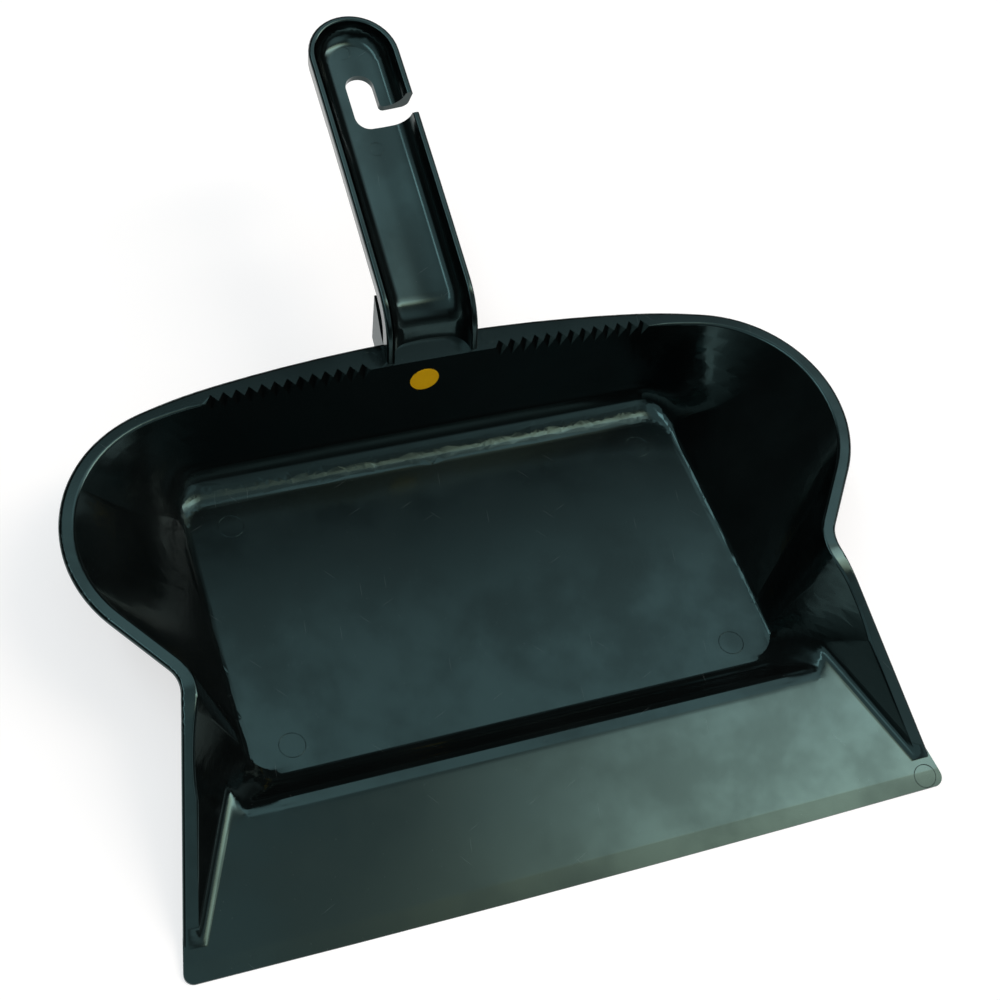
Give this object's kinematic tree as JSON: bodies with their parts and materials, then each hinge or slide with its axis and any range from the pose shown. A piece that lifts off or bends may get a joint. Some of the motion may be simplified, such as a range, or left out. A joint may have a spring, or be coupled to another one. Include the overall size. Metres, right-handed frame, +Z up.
{
  "type": "dustpan",
  "caption": "Moulded black dustpan with a ramped lip, flared ears, combed back ledge and an upward-open channel handle with a side-entry hang slot.",
  "frame": {"origin": "On the ground, at the middle of the flat underside of the basin floor.", "axes": "+Y runs from the sweeping lip to the handle, +Z is up, and +X is to the right as seen by the user behind the lip looking at the handle."},
  "size_m": [0.316, 0.3491, 0.099],
  "materials": {
    "black_plastic": "satin moulded finish with fine scuffs",
    "yellow_label": "smooth vinyl, plain"
  },
  "bodies": {
    "root": {"dustpan_moulding": "black_plastic", "round_label": "yellow_label"}
  },
  "joints": []
}
